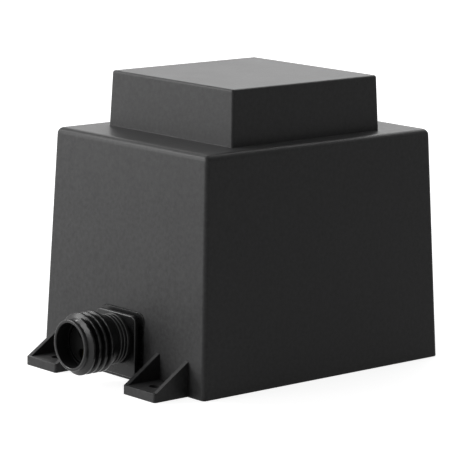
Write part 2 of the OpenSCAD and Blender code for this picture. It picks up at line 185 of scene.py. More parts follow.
# %% Trees
class Tree:
    """A node tree that is written as calls and sums."""

    def __init__(self, tree):
        self.tree = tree
        tree.nodes.clear()

    def node(self, kind, sockets=None, settings=None, out=0):
        """Adds a node. Settings are made first, as they can change which sockets it has."""
        made = self.tree.nodes.new(kind)
        for name, value in (settings or {}).items():
            setattr(made, name, value)
        for key, value in (sockets or {}).items():
            entry = next(s for s in made.inputs if key in (s.identifier, s.name))
            wires = value if isinstance(value, list) else [value]
            if isinstance(wires[0], Wire):
                for wire in wires:
                    self.tree.links.new(wire.socket, entry)
            elif entry.type == "RGBA" and len(value) == 3:
                entry.default_value = (*value, 1)
            else:
                entry.default_value = value
        if out == "all":
            return [Wire(self, socket) for socket in made.outputs]
        return Wire(self, made.outputs[out]) if made.outputs else None

    def math(self, operation, *values):
        sockets = dict(zip(("Value", "Value_001"), values))
        return self.node("ShaderNodeMath", sockets, {"operation": operation})

    def mix(self, factor, first, second):
        """A colour between two colours."""
        sockets = {"Factor_Float": factor, "A_Color": first, "B_Color": second}
        return self.node("ShaderNodeMix", sockets, {"data_type": "RGBA"}, out=2)

    def noise(self, where, size, detail=2.0, roughness=0.5):
        """Noise from 0 to 1 whose lumps are about size metres across."""
        sockets = {"Vector": where, "Scale": 1 / size, "Detail": detail, "Roughness": roughness}
        return self.node("ShaderNodeTexNoise", sockets)

    def bump(self, height, distance, normal=None):
        """A normal from a height that spans 0 to 1 over distance metres."""
        sockets = {"Height": height, "Distance": distance, "Strength": 1.0}
        if normal is not None:
            sockets["Normal"] = normal
        return self.node("ShaderNodeBump", sockets)


print("a Tree adds nodes, sums, mixes, noises and bumps")

# %% [markdown]
# ## Floor and surroundings
# The object stands on a plain white ground that runs out of the picture. A floor lit to pure white
# would need more light than the black plastic can take. So the floor and the world are white only
# for rays that the eye or a reflection follows, and much dimmer as a source of light. The floor
# also keeps a plain diffuse part, which is where the object's soft shadow shows. Far from the
# object, where the lamps don't reach, the white part grows to full strength, so no horizon shows.

# %% White floor
FLOOR_SIZE = 12.0
FLOOR_GAP = 0.1 * MM
FLOOR_GREY = 0.5
FLOOR_GLOW = 0.9
FLOOR_FADE = 1.5
WHITE = (1.0, 1.0, 1.0)


def seen_rays(tree):
    """1 for rays that show the background: from the camera, in a reflection or through glass."""
    rays = tree.node("ShaderNodeLightPath", out="all")
    named = {wire.socket.name: wire for wire in rays}
    shown = named["Is Camera Ray"] + named["Is Glossy Ray"] + named["Is Transmission Ray"]
    return shown.clamped()


def new_material(name):
    """A material, its tree and the object's own coordinates."""
    material = bpy.data.materials.new(name)
    material.use_nodes = True
    tree = Tree(material.node_tree)
    where = tree.node("ShaderNodeTexCoord", out="Object")
    return material, tree, where


def floor_material():
    material, tree, where = new_material("pale_floor")
    plain = tree.node("ShaderNodeBsdfDiffuse", {"Color": (FLOOR_GREY,) * 3})
    length = {"operation": "LENGTH"}
    away = tree.node("ShaderNodeVectorMath", {"Vector": where}, length, out="Value")
    strength = FLOOR_GLOW + (1 - FLOOR_GLOW) * (away / FLOOR_FADE).clamped()
    shown = seen_rays(tree) * strength
    glow = tree.node("ShaderNodeEmission", {"Color": WHITE, "Strength": shown})
    both = tree.node("ShaderNodeAddShader", {"Shader": plain, "Shader_001": glow})
    tree.node("ShaderNodeOutputMaterial", {"Surface": both})
    return material


half_floor = FLOOR_SIZE / 2
square = ((-1, -1), (1, -1), (1, 1), (-1, 1))
floor_corners = [(x * half_floor, y * half_floor, -FLOOR_GAP) for x, y in square]
floor_mesh = bpy.data.meshes.new("floor")
floor_mesh.from_pydata(floor_corners, [], [(0, 1, 2, 3)])
floor_mesh.materials.append(floor_material())
placed("floor", floor_mesh)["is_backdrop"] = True
print("floor of", FLOOR_SIZE, "m")

# %% Pale world
WORLD_LIGHT = 0.008


def pale_world():
    world = bpy.data.worlds.new("pale_world")
    world.use_nodes = True
    tree = Tree(world.node_tree)
    strength = WORLD_LIGHT + (1 - WORLD_LIGHT) * seen_rays(tree)
    sky = tree.node("ShaderNodeBackground", {"Color": WHITE, "Strength": strength})
    tree.node("ShaderNodeOutputWorld", {"Surface": sky})
    return world


bpy.context.scene.world = pale_world()
print("world:", bpy.context.scene.world.name)

# %% [markdown]
# ## Soft light
# The upper faces are pale because they reflect what is behind them at a low angle, the outlet's
# face is a middle grey and the right side is nearly black. That is three boxes of light in front on
# the left, two behind and above, and little from the right. The highest of the three draws the soft
# line along the shoulder's edge. One bright world could light it all, but separate lamps can be set
# one by one until each face has its tone. They are area lamps, so their shadows are soft.

# %% Area lamps
LAMPS = [
    # name, azimuth and elevation in degrees, distance and size in metres, power in watts
    ("left_box", -57, 35, 1.3, 0.3, 6.8),
    ("low_left_box", -44, 12, 1.3, 0.5, 6.0),
    ("front_box", -14, 15, 1.3, 0.5, 5.3),
    ("back_box", 200, 40, 1.3, 0.8, 5.8),
    ("low_back_box", 229, 30, 1.3, 0.8, 2.75),
]


def area_lamp(name, azimuth, elevation, distance, size, watts):
    lamp = bpy.data.lights.new(name, "AREA")
    lamp.shape = "SQUARE"
    lamp.size = size
    lamp.energy = watts
    place = TARGET + distance * toward(math.radians(azimuth), math.radians(elevation))
    return placed(name, lamp, aimed(place, TARGET))


for lamp_row in LAMPS:
    print("lamp:", area_lamp(*lamp_row).name)

# %% [markdown]
# ## The housing's finish
# The housing is injection moulded in black plastic, in a mould whose walls were spark eroded. That
# leaves an even, mottled grain and a dull sheen. The grain could be modelled, but it is only a few
# hundredths of a millimetre high, so one noise is enough: it varies the colour, the roughness and a
# bump together. A broad, faint unevenness stands for the way a thick moulding sinks a little as it
# cools, and the colour drifts slightly with it.

# %% Moulded plastic of the housing
def surfaced(material, tree, sockets):
    """Ends a tree in one principled surface."""
    skin = tree.node("ShaderNodeBsdfPrincipled", sockets)
    tree.node("ShaderNodeOutputMaterial", {"Surface": skin})
    return material


GRAIN_SIZE = 1.6 * MM
GRAIN_HEIGHT = 0.05 * MM
DRIFT_SIZE = 17 * MM
SINK_SIZE = 40 * MM
SINK_HEIGHT = 0.12 * MM


def housing_plastic():
    material, tree, where = new_material("housing_plastic")
    grain = tree.noise(where, GRAIN_SIZE, detail=4, roughness=0.6)
    drift = tree.noise(where, DRIFT_SIZE, detail=2)
    sink = tree.noise(where, SINK_SIZE, detail=1)
    tone = (0.8 * grain + 0.2 * drift).clamped()
    colour = tree.mix(tone, (0.016, 0.016, 0.0165), (0.074, 0.074, 0.0745))
    waves = tree.bump(sink, SINK_HEIGHT)
    return surfaced(material, tree, {
        "Base Color": colour,
        "Roughness": 0.33 + 0.10 * grain + 0.06 * drift,
        "Normal": tree.bump(grain, GRAIN_HEIGHT, normal=waves),
        "Specular IOR Level": 0.14,
    })


MOULDED = housing_plastic()
print("finish:", MOULDED.name)

# %% [markdown]
# ## Finishes of the outlet, the seals and the resin
# The outlet comes from another, polished mould, so it is blacker and glossier than the housing,
# with only a trace of flow marks. The seals are soft black rubber with a dusty bloom. The resin was
# poured into the open base and set level: it is glossy, with slow waves and a few pin-holes left by
# bubbles. They could share the housing's finish with other numbers, but their marks differ in kind,
# so each has its own tree.

# %% Outlet plastic
FLOW_SIZE = 3.5 * MM
SPECK_SIZE = 0.25 * MM
FLOW_HEIGHT = 0.02 * MM


def outlet_plastic():
    material, tree, where = new_material("outlet_plastic")
    flow = tree.noise(where, FLOW_SIZE, detail=3)
    speck = tree.noise(where, SPECK_SIZE, detail=2)
    return surfaced(material, tree, {
        "Base Color": tree.mix(flow, (0.008, 0.008, 0.0083), (0.018, 0.018, 0.0183)),
        "Roughness": 0.21 + 0.10 * flow + 0.05 * speck,
        "Normal": tree.bump(0.7 * flow + 0.3 * speck, FLOW_HEIGHT),
        "Specular IOR Level": 0.29,
    })


OUTLET = outlet_plastic()
print("finish:", OUTLET.name)

# %% Rubber of the seals
BLOOM_SIZE = 1.4 * MM
BLOOM_HEIGHT = 0.03 * MM


def seal_rubber():
    material, tree, where = new_material("seal_rubber")
    bloom = tree.noise(where, BLOOM_SIZE, detail=4, roughness=0.6)
    return surfaced(material, tree, {
        "Base Color": tree.mix(bloom, (0.005, 0.005, 0.005), (0.014, 0.014, 0.0135)),
        "Roughness": 0.36 + 0.16 * bloom,
        "Normal": tree.bump(bloom, BLOOM_HEIGHT),
        "Specular IOR Level": 0.37,
    })


RUBBER = seal_rubber()
print("finish:", RUBBER.name)

# %% Casting resin
WAVE_SIZE = 22 * MM
WAVE_HEIGHT = 0.5 * MM
DUST_SIZE = 5 * MM
HOLE_SPACING = 6 * MM
HOLE_SHARE = 0.06
HOLE_DEPTH = 0.25 * MM


def casting_resin():
    material, tree, where = new_material("casting_resin")
    waves = tree.noise(where, WAVE_SIZE, detail=1)
    cells = tree.node("ShaderNodeTexVoronoi", {"Vector": where, "Scale": 1 / HOLE_SPACING})
    hole = (1 - cells / HOLE_SHARE).clamped()
    dust = tree.noise(where, DUST_SIZE, detail=4, roughness=0.65)
    level = tree.bump(waves, WAVE_HEIGHT)
    return surfaced(material, tree, {
        "Base Color": tree.mix(dust, (0.010, 0.010, 0.0105), (0.020, 0.020, 0.0205)),
        "Roughness": 0.14 + 0.16 * dust + 0.3 * hole,
        "Normal": tree.bump(1 - hole, HOLE_DEPTH, normal=level),
    })


RESIN = casting_resin()
print("finish:", RESIN.name)

# %% [markdown]
# ## Finishes of the inner pieces
# The core, the coil and the wiring are cast in and don't show, but they are in the model for anyone
# who opens it up. The plates of the core are half a millimetre thick, so the stack has fine lines
# round its edges. The windings are rows of lacquered wire, and the tape over them lies in
# overlapping turns. Plates and wires could be modelled, but that is thousands of faces that rarely
# show. All three are stripes along one axis, so one function makes the stripes.

# %% Stripes and the core's steel
def stripes(tree, where, axis, pitch):
    """A ridge from 0 to 1 and back, once every pitch metres along X, Y or Z."""
    place = tree.node("ShaderNodeSeparateXYZ", {"Vector": where}, out="all")[axis]
    return (2 * ((place / pitch).math("FRACT") - 0.5)).math("ABSOLUTE")


LAMINATION_PITCH = 0.5 * MM
LAMINATION_GAP = 0.05 * MM
LAMINATION_SHARPNESS = 6.0
OXIDE_SIZE = 9 * MM


def lamination_steel():
    material, tree, where = new_material("lamination_steel")
    gap = stripes(tree, where, 2, LAMINATION_PITCH).math("POWER", LAMINATION_SHARPNESS)
    oxide = tree.noise(where, OXIDE_SIZE, detail=4, roughness=0.6)
    plate = tree.mix(oxide, (0.20, 0.21, 0.23), (0.36, 0.37, 0.38))
    return surfaced(material, tree, {
        "Base Color": tree.mix(0.7 * gap, plate, (0.05, 0.05, 0.055)),
        "Metallic": 0.9,
        "Roughness": 0.38 + 0.2 * oxide,
        "Normal": tree.bump(1 - gap, LAMINATION_GAP),
    })


STEEL = lamination_steel()
print("finish:", STEEL.name)

# %% Copper wire
WIRE_PITCH = 0.9 * MM
WIRE_HEIGHT = 0.4 * MM
TINT_SIZE = 4 * MM


def enamelled_copper():
    material, tree, where = new_material("enamelled_copper")
    ridge = stripes(tree, where, 0, WIRE_PITCH)
    wire_top = (1 - ridge * ridge).math("SQRT")
    tint = tree.noise(where, TINT_SIZE, detail=3)
    lacquer = tree.mix(tint, (0.42, 0.15, 0.05), (0.60, 0.25, 0.09))
    return surfaced(material, tree, {
        # The colour darkens towards the grooves between the wires: painted shade of those grooves.
        "Base Color": tree.mix(0.8 * (1 - wire_top), lacquer, (0.08, 0.03, 0.015)),
        "Metallic": 0.75,
        "Roughness": 0.24 + 0.1 * tint,
        "Normal": tree.bump(wire_top, WIRE_HEIGHT),
    })


COPPER = enamelled_copper()
print("finish:", COPPER.name)

# %% Insulating tape
TAPE_PITCH = 9 * MM
TAPE_HEIGHT = 0.08 * MM
TAPE_SHARPNESS = 40.0
WRINKLE_SIZE = 2.6 * MM


def insulating_tape():
    material, tree, where = new_material("insulating_tape")
    edge = stripes(tree, where, 0, TAPE_PITCH).math("POWER", TAPE_SHARPNESS)
    wrinkle = tree.noise(where, WRINKLE_SIZE, detail=3)
    film = tree.mix(wrinkle, (0.62, 0.45, 0.06), (0.76, 0.58, 0.11))
    return surfaced(material, tree, {
        "Base Color": tree.mix(0.5 * edge, film, (0.35, 0.24, 0.03)),
        "Roughness": 0.28 + 0.15 * wrinkle,
        "Normal": tree.bump(0.6 * wrinkle + 0.4 * edge, TAPE_HEIGHT),
    })


TAPE = insulating_tape()
print("finish:", TAPE.name)

# %% [markdown]
# The bobbin is natural nylon, a little cloudy. The pins are tinned and the contacts are drawn
# brass: both are metals whose roughness changes with handling. The insulation of the wires is plain
# soft plastic in two colours. These need no pattern of their own, so two short functions make all
# five.

# %% Plain plastics and metals
HAZE_HEIGHT = 0.03 * MM


def clouded_plastic(name, dark, light, roughness, cloud):
    material, tree, where = new_material(name)
    haze = tree.noise(where, cloud, detail=4, roughness=0.55)
    return surfaced(material, tree, {
        "Base Color": tree.mix(haze, dark, light),
        "Roughness": roughness + 0.12 * haze,
        "Normal": tree.bump(haze, HAZE_HEIGHT),
    })


SMEAR_SIZE = 1.8 * MM
SMEAR_HEIGHT = 0.01 * MM


def handled_metal(name, dark, light, roughness):
    material, tree, where = new_material(name)
    smear = tree.noise(where, SMEAR_SIZE, detail=5, roughness=0.6)
    return surfaced(material, tree, {
        "Base Color": tree.mix(smear, dark, light),
        "Metallic": 1.0,
        "Roughness": roughness + 0.22 * smear,
        "Normal": tree.bump(smear, SMEAR_HEIGHT),
    })


NYLON = clouded_plastic(
    "bobbin_plastic", (0.66, 0.61, 0.48), (0.78, 0.74, 0.62), roughness=0.38, cloud=6 * MM)
BLACK_LEAD = clouded_plastic(
    "lead_insulation", (0.030, 0.030, 0.033), (0.055, 0.055, 0.060), roughness=0.36, cloud=3 * MM)
RED_LEAD = clouded_plastic(
    "link_insulation", (0.34, 0.05, 0.04), (0.48, 0.09, 0.07), roughness=0.34, cloud=2 * MM)
TINNED = handled_metal(
    "tinned_metal", (0.58, 0.58, 0.57), (0.74, 0.74, 0.73), roughness=0.22)
BRASS = handled_metal(
    "contact_brass", (0.22, 0.15, 0.055), (0.42, 0.31, 0.13), roughness=0.26)
print("finishes:", NYLON.name, BLACK_LEAD.name, RED_LEAD.name, TINNED.name, BRASS.name)

# %% [markdown]
# ## Finishes on the CAD nodes
# A CAD node whose shape is right keeps its mesh and only gets its finish. That could be set node by
# node, but the record names a material slot for each node, and each finish bears the name of its
# slot. So the finish is looked up, and two nodes of one stuff can't differ.

# %% Give every CAD node its finish
plastics = (MOULDED, OUTLET, RUBBER, RESIN, TAPE, NYLON, BLACK_LEAD, RED_LEAD)
metals = (STEEL, COPPER, TINNED, BRASS)
finish_of = {finish.name: finish for finish in plastics + metals}
slot_of = {part["node"]: part["material_slot"] for part in frame["record"]["subparts"]}
for node_name, node_object in nodes.items():
    node_object.data.materials.clear()
    node_object.data.materials.append(finish_of[slot_of[node_name]])
print("CAD nodes with a finish:", len(slot_of))

# %% [markdown]
# ## Lofts
# The housing and the outlet's plates are all rounded rectangles that change size along a path. A
# loft joins such rings into one skin. It could be made with a bevel on a box, but a loft gives an
# even row of faces round every corner, so light runs over it without kinks.

# %% Rings and lofts
CORNER_STEPS = 12
EDGE_STEPS = 4
MERGE = 0.0005 * MM


def quarter_turn(steps=CORNER_STEPS):
    """Sine and one minus cosine of a quarter turn, for rounding an edge."""
    angles = [math.pi / 2 * step / steps for step in range(steps + 1)]
    return [(math.sin(angle), 1 - math.cos(angle)) for angle in angles]


def rounded_ring(half_x, half_y, radius, z):
    """Points of a level rectangle with round corners, anticlockwise."""
    ring = []
    for quarter, (side_x, side_y) in enumerate([(1, 1), (-1, 1), (-1, -1), (1, -1)]):
        middle = Vector((side_x * (half_x - radius), side_y * (half_y - radius), z))
        for step in range(CORNER_STEPS + 1):
            angle = math.pi / 2 * (quarter + step / CORNER_STEPS)
            ring.append(middle + radius * Vector((math.cos(angle), math.sin(angle), 0)))
    return ring


def loft(rings, closed=False):
    """A skin through rings of equal length, with flat ends unless it closes on itself."""
    skin = bmesh.new()
    layers = [[skin.verts.new(point) for point in ring] for ring in rings]
    pairs = list(zip(layers, layers[1:]))
    if closed:
        pairs.append((layers[-1], layers[0]))
    else:
        skin.faces.new(layers[0])
        skin.faces.new(layers[-1])
    for lower, upper in pairs:
        for here in range(len(lower)):
            after = (here + 1) % len(lower)
            skin.faces.new((lower[here], lower[after], upper[after], upper[here]))
    bmesh.ops.remove_doubles(skin, verts=skin.verts, dist=MERGE)
    bmesh.ops.recalc_face_normals(skin, faces=skin.faces)
    return skin


print("rings have", 4 * (CORNER_STEPS + 1), "points")

# %% [markdown]
# ## Pieces
# A skin becomes an object whose place is in its mesh, so every piece sits at the origin. Holes and
# joined parts come from booleans. The manifold solver leaves one closed solid, where the exact
# solver can leave a sheet of faces inside. Smooth shading over a whole piece would bend the light
# on its flat walls near each edge. So only the narrow faces of the roundings are shaded smooth and
# the wide faces stay flat.

# %% Pieces and booleans
def as_piece(name, skin, matrix=None):
    """An object from a bmesh, with its place in its mesh."""
    mesh = bpy.data.meshes.new(name)
    if matrix is not None:
        bmesh.ops.transform(skin, matrix=matrix, verts=skin.verts)
    skin.to_mesh(mesh)
    skin.free()
    return placed(name, mesh)


def settle(piece):
    """Turns a piece with live modifiers into one plain mesh."""
    shape = bpy.context.evaluated_depsgraph_get()
    plain = bpy.data.meshes.new_from_object(piece.evaluated_get(shape))
    piece.modifiers.clear()
    before = piece.data
    piece.data = plain
    bpy.data.meshes.remove(before)
    plain.name = piece.name


def weld(mesh):
    """Merges points that a cut has left on top of each other."""
    skin = bmesh.new()
    skin.from_mesh(mesh)
    bmesh.ops.remove_doubles(skin, verts=skin.verts, dist=MERGE)
    skin.to_mesh(mesh)
    skin.free()


def combine(piece, tool, operation):
    """Adds or cuts a tool's solid, and removes the tool."""
    step = piece.modifiers.new(tool.name, "BOOLEAN")
    step.operation = operation
    step.solver = "MANIFOLD"
    step.object = tool
    settle(piece)
    weld(piece.data)
    bpy.data.meshes.remove(tool.data)


print("booleans merge points closer than", round(MERGE / MM, 4), "mm")

# %% Shading of a finished piece
FLAT_WIDTH = 0.8 * MM
SHARP_ANGLE = 32


def shaded(mesh, sharp):
    """Shades the narrow faces of roundings smooth and the wide faces of walls flat."""
    mesh.shade_smooth()
    mesh.set_sharp_from_angle(angle=math.radians(sharp))
    points = mesh.vertices
    for face in mesh.polygons:
        girth = sum((points[a].co - points[b].co).length for a, b in face.edge_keys)
        face.use_smooth = 2 * face.area < FLAT_WIDTH * girth


def finished(piece, material, replaced=None, sharp=SHARP_ANGLE):
    """Even shading, a finish and a ride for a piece that is done."""
    piece.data.materials.clear()
    piece.data.materials.append(material)
    shaded(piece.data, sharp)
    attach(piece, "root")
    if replaced:
        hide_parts(replaced)
    bpy.context.view_layer.update()
    low, high = piece.bound_box[0], piece.bound_box[6]
    print(piece.name, "faces:", len(piece.data.polygons), "box in mm:", in_mm(low), in_mm(high))


print("faces narrower than", round(FLAT_WIDTH / MM, 2), "mm are shaded smooth")

# %% [markdown]
# ## The housing
# It is one moulding: a drafted box that is open at its base, with a raised block on its top. The
# edge round its shoulder is well rounded, the upright corners and the block's edges less so, and
# the block meets the shoulder in a tight crease. Two boxes could be joined and bevelled, but these
# edges all have different radii. So it is one loft, from the ceiling inside, down the inner wall,
# round the rim and up the outside.

# %% Loft of the box and its block
housing_low, housing_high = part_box("housing")
DRAFT = math.tan(math.radians(2.26))
SHOULDER_Z = 92.6 * MM
WALL = 3 * MM
BODY_EDGE = 2.6 * MM
BODY_CORNER = 1.7 * MM
RIM_EDGE = 0.4 * MM
RIM_STEPS = 3
INNER_EDGE = 0.8 * MM
BLOCK_HALF = Vector((37.7 * MM, 38.3 * MM))
BLOCK_EDGE = 1.1 * MM
BLOCK_CREASE = 0.15 * MM
FOOT_HALF = Vector((housing_high.x, housing_high.y))


def box_ring(inset, radius, z):
    """A ring of the box, moved in from the outline of its foot."""
    return rounded_ring(FOOT_HALF.x - inset, FOOT_HALF.y - inset, radius, z)


def block_ring(inset, radius, z):
    """A ring of the raised block, moved in from the outline of its foot."""
    return rounded_ring(BLOCK_HALF.x - inset, BLOCK_HALF.y - inset, radius, z)


def box_rings():
    ceiling = SHOULDER_Z - WALL
    edge = SHOULDER_Z - BODY_EDGE
    rings = [box_ring(WALL + DRAFT * ceiling, INNER_EDGE, ceiling), box_ring(WALL, INNER_EDGE, 0)]
    for rise, turn in quarter_turn(RIM_STEPS):
        left = RIM_EDGE * (1 - rise)
        rings.append(box_ring(left, BODY_CORNER - left, RIM_EDGE * turn))
    for rise, turn in quarter_turn():
        radius = BODY_CORNER * (1 - turn)
        rings.append(box_ring(DRAFT * edge + BODY_EDGE * turn, radius, edge + BODY_EDGE * rise))
    return rings


def block_rings():
    height = housing_high.z - SHOULDER_Z
    edge = height - BLOCK_EDGE
    rings = []
    for rise, turn in quarter_turn(EDGE_STEPS):
        left = BLOCK_CREASE * (1 - rise)
        rings.append(block_ring(-left, BLOCK_EDGE + left, SHOULDER_Z + BLOCK_CREASE * turn))
    for rise, turn in quarter_turn():
        radius = BLOCK_EDGE * (1 - turn)
        z = SHOULDER_Z + edge + BLOCK_EDGE * rise
        rings.append(block_ring(DRAFT * edge + BLOCK_EDGE * turn, radius, z))
    return rings


housing = as_piece("housing_shell", loft(box_rings() + block_rings()))
print("housing shell, faces before its ears and holes:", len(housing.data.polygons))

# %% [markdown]
# ## The fixing ears
# Each ear is a plate with a three-cornered gusset along each side, so its top is an open tray round
# the screw hole. Its outline changes too much for a loft. So it is a plain solid with few faces,
# and a bevel rounds its edges as the mould's cutter did. The two front corners are rounded more.
# The ear is then joined to the wall by a boolean union.

# %% Side view of an ear
EAR_W = 19.2 * MM
EAR_T = 3.6 * MM
EAR_CORNER = 1.0 * MM
GUSSET_H = 13.7 * MM
GUSSET_T = 2.0 * MM
fixing = mounts["fixing_holes"]
hole_xs = [side * fixing["dims"]["spacing_x_mm"] / 2 * MM for side in (-1, 1)]


def ear_profile():
    """Named points of Y and Z, from the toe to a root half way into the wall."""
    front = housing_low.y
    root = -FOOT_HALF.y + WALL / 2
    return {
        "toe": (front, 0),
        "heel": (root, 0),
        "back": (root, GUSSET_H),
        "crown": (-FOOT_HALF.y + DRAFT * GUSSET_H, GUSSET_H),
        "start": (front + EAR_CORNER, EAR_T),
        "lip": (front, EAR_T),
        "seat": (root, EAR_T),
    }


print("ears at x in mm:", in_mm(hole_xs))

# %% Ears with their gussets
EAR_CORNER_STEPS = 5
EAR_EDGE = 0.4 * MM
EAR_EDGE_STEPS = 3
EAR_SHARP = math.radians(25)


def ear_solid(middle):
    """The plate and the two gussets of one ear, with sharp edges, and its corners by name."""
    outer_x = EAR_W / 2
    inner_x = outer_x - GUSSET_T
    across = {"L": -outer_x, "l": -inner_x, "r": inner_x, "R": outer_x}
    solid = bmesh.new()
    corner = {}
    for side, x in across.items():
        for name, (y, z) in ear_profile().items():
            inner = side in "lr"
            if name == "seat" and not inner or name in ("toe", "heel", "lip") and inner:
                continue
            corner[name + side] = solid.verts.new((middle + x, y, z))
    faces = [
        "toeL toeR heelR heelL",
        "toeL lipL lipR toeR",
        "lipL startL startl seatl seatr startr startR lipR",
        "heelL heelR backR backr seatr seatl backl backL",
    ]
    for outer, inner in ("Ll", "Rr"):
        faces.append(f"toe{outer} heel{outer} back{outer} crown{outer} start{outer} lip{outer}")
        faces.append(f"start{inner} crown{inner} back{inner} seat{inner}")
        faces.append(f"start{outer} crown{outer} crown{inner} start{inner}")
        faces.append(f"crown{outer} back{outer} back{inner} crown{inner}")
    for names in faces:
        solid.faces.new([corner[name] for name in names.split()])
    bmesh.ops.recalc_face_normals(solid, faces=solid.faces)
    return solid, corner


def rounded_ear(middle):
    solid, corner = ear_solid(middle)
    uprights = [solid.edges.get((corner["toe" + side], corner["lip" + side])) for side in "LR"]
    bmesh.ops.bevel(
        solid, geom=uprights, offset=EAR_CORNER, segments=EAR_CORNER_STEPS,
        profile=0.5, affect="EDGES")
    sharp = [edge for edge in solid.edges if edge.calc_face_angle(0) > EAR_SHARP]
    bmesh.ops.bevel(
        solid, geom=sharp, offset=EAR_EDGE, segments=EAR_EDGE_STEPS,
        profile=0.5, affect="EDGES", clamp_overlap=True)
    return solid


for hole_x in hole_xs:
    combine(housing, as_piece("ear", rounded_ear(hole_x)), "UNION")
print("housing with its ears, faces:", len(housing.data.polygons))

# %% [markdown]
# ## Openings in the housing
# A flat seat is let into the sloping front wall for the outlet's flange, with a round hole behind
# it. The back wall has a round seat and a hole for the mains bush, and each ear has its screw hole.
# They could be left free in the loft, but then every ring near them would need points of its own.
# So each is a short solid on its own axis, and a boolean takes it away.

# %% Places of the openings
SEAT_FIT = 0.2 * MM
FLANGE_CORNER = 3.4 * MM
gasket_low, gasket_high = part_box("outlet_gasket")
bush_low, bush_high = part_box("mains_bush")
outlet_axis = Vector((0, gasket_high.y, mounts["outlet_socket_bore"]["pos_m"][2]))
flange_middle = Vector((0, gasket_high.y, (gasket_low.z + gasket_high.z) / 2))
BUSH_FLANGE = 2.6 * MM
BUSH_R = 6.0 * MM
SHANK_R = 9.2 * MM
bush_axis = Vector((0, bush_high.y - BUSH_FLANGE, mounts["mains_entry"]["pos_m"][2]))
bush_flange_r = (bush_high.x - bush_low.x) / 2
print("axes in mm, outlet:", in_mm(outlet_axis), "bush:", in_mm(bush_axis))

# %% Seats and holes
ROUND_STEPS = 96
FRONT_WALL = 90
BACK_WALL = -90


def facing(place, wall):
    """Stands a shape at a place on the front or the back wall, with its own Z pointing out."""
    return Matrix.Translation(place) @ Matrix.Rotation(math.radians(wall), 4, "X")


def circle(radius, z):
    angles = [2 * math.pi * step / ROUND_STEPS for step in range(ROUND_STEPS)]
    return [Vector((radius * math.cos(angle), radius * math.sin(angle), z)) for angle in angles]


def cylinder(radius, start, end):
    return loft([circle(radius, start), circle(radius, end)])


def cut(skin, matrix):
    combine(housing, as_piece("cutter", skin, matrix), "DIFFERENCE")


flange_half_x = (gasket_high.x - gasket_low.x) / 2
flange_half_y = (gasket_high.z - gasket_low.z) / 2
seat_size = (flange_half_x + SEAT_FIT, flange_half_y + SEAT_FIT, FLANGE_CORNER + SEAT_FIT)
flange_seat = loft([rounded_ring(*seat_size, 0), rounded_ring(*seat_size, 2 * WALL)])
cut(flange_seat, facing(flange_middle, FRONT_WALL))
cut(cylinder(SHANK_R, -2 * WALL, WALL), facing(outlet_axis, FRONT_WALL))
cut(cylinder(bush_flange_r + SEAT_FIT, 0, 2 * WALL), facing(bush_axis, BACK_WALL))
cut(cylinder(BUSH_R, -2 * WALL, WALL), facing(bush_axis, BACK_WALL))
for hole_x in hole_xs:
    screw_hole = cylinder(fixing["dims"]["hole_r_mm"] * MM, -EAR_T, 2 * EAR_T)
    cut(screw_hole, Matrix.Translation((hole_x, fixing["pos_m"][1], 0)))
finished(housing, MOULDED, "housing")

# %% [markdown]
# ## The outlet's thread
# The outlet is a spigot with a coarse right-hand thread that starts and ends bluntly. A thread
# could be a profile swept along a helix, but its ends and its seam with the spigot are hard to
# close. Here the spigot is first turned as a plain tube, with many rings where the thread will be,
# and the thread is then raised out of its skin.

# %% Stations and radii of the outlet
socket_low, socket_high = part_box("outlet_socket")
socket_bore = mounts["outlet_socket_bore"]["dims"]
RIM_AT = gasket_high.y - socket_low.y
SHANK_AT = gasket_high.y - socket_high.y
SOCKET_R = socket_bore["r_mm"] * MM
carrier_low, carrier_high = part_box("contact_carrier")
CARRIER_FACE = gasket_high.y - carrier_low.y
CARRIER_BACK = gasket_high.y - carrier_high.y
CARRIER_R = 7.6 * MM
CARRIER_GROOVE = 0.7 * MM
CARRIER_GROOVE_DEPTH = 3.5 * MM
SPIGOT_R = 10.0 * MM
NECK_R = 9.0 * MM
NECK_LENGTH = 6.1 * MM
NECK_STEP = 0.2 * MM
PLATE_BACK = 3.8 * MM
PLATE_FRONT = 5.2 * MM
NECK_END = PLATE_FRONT + NECK_LENGTH
print("stations in mm, shank, neck's end and rim:", in_mm((SHANK_AT, NECK_END, RIM_AT)))

# %% Turned blank of the spigot
LIP_ROUND = 0.45 * MM
THREAD_PITCH = 3.0 * MM
RINGS_PER_PITCH = 26


def turned(profile):
    """A ring-shaped solid from a closed profile of radius and station."""
    return loft([circle(radius, station) for radius, station in profile], closed=True)


def spigot_profile():
    groove_r = CARRIER_R + CARRIER_GROOVE
    groove_floor = CARRIER_FACE - CARRIER_GROOVE_DEPTH
    inside = [(CARRIER_R, SHANK_AT), (CARRIER_R, groove_floor), (groove_r, groove_floor)]
    inside += [(groove_r, CARRIER_FACE), (SOCKET_R, CARRIER_FACE)]
    lip = []
    for rise, turn in quarter_turn(EDGE_STEPS):
        lip.append((SOCKET_R + LIP_ROUND * turn, RIM_AT - LIP_ROUND * (1 - rise)))
    for rise, turn in quarter_turn(EDGE_STEPS):
        lip.append((SPIGOT_R - LIP_ROUND * (1 - rise), RIM_AT - LIP_ROUND * turn))
    start = RIM_AT - LIP_ROUND
    count = round((start - NECK_END) / THREAD_PITCH * RINGS_PER_PITCH)
    skin = [(SPIGOT_R, start + (NECK_END - start) * step / count) for step in range(1, count + 1)]
    foot = [(NECK_R, NECK_END - NECK_STEP), (NECK_R, PLATE_FRONT), (NECK_R, PLATE_BACK)]
    shank = [(SHANK_R, 0), (SHANK_R, SHANK_AT)]
    return inside + lip + skin + foot + shank


outlet = as_piece("outlet_moulding", turned(spigot_profile()))
print("spigot blank, faces:", len(outlet.data.polygons))

# %% [markdown]
# The thread and a seal further on are grown by geometry trees. Each tree has named inputs, so its
# sizes can be changed from outside, and it ends in real faces with their finish. The modifier could
# stay live, but more parts are joined to the piece later, so what the tree makes is kept as a plain
# mesh.

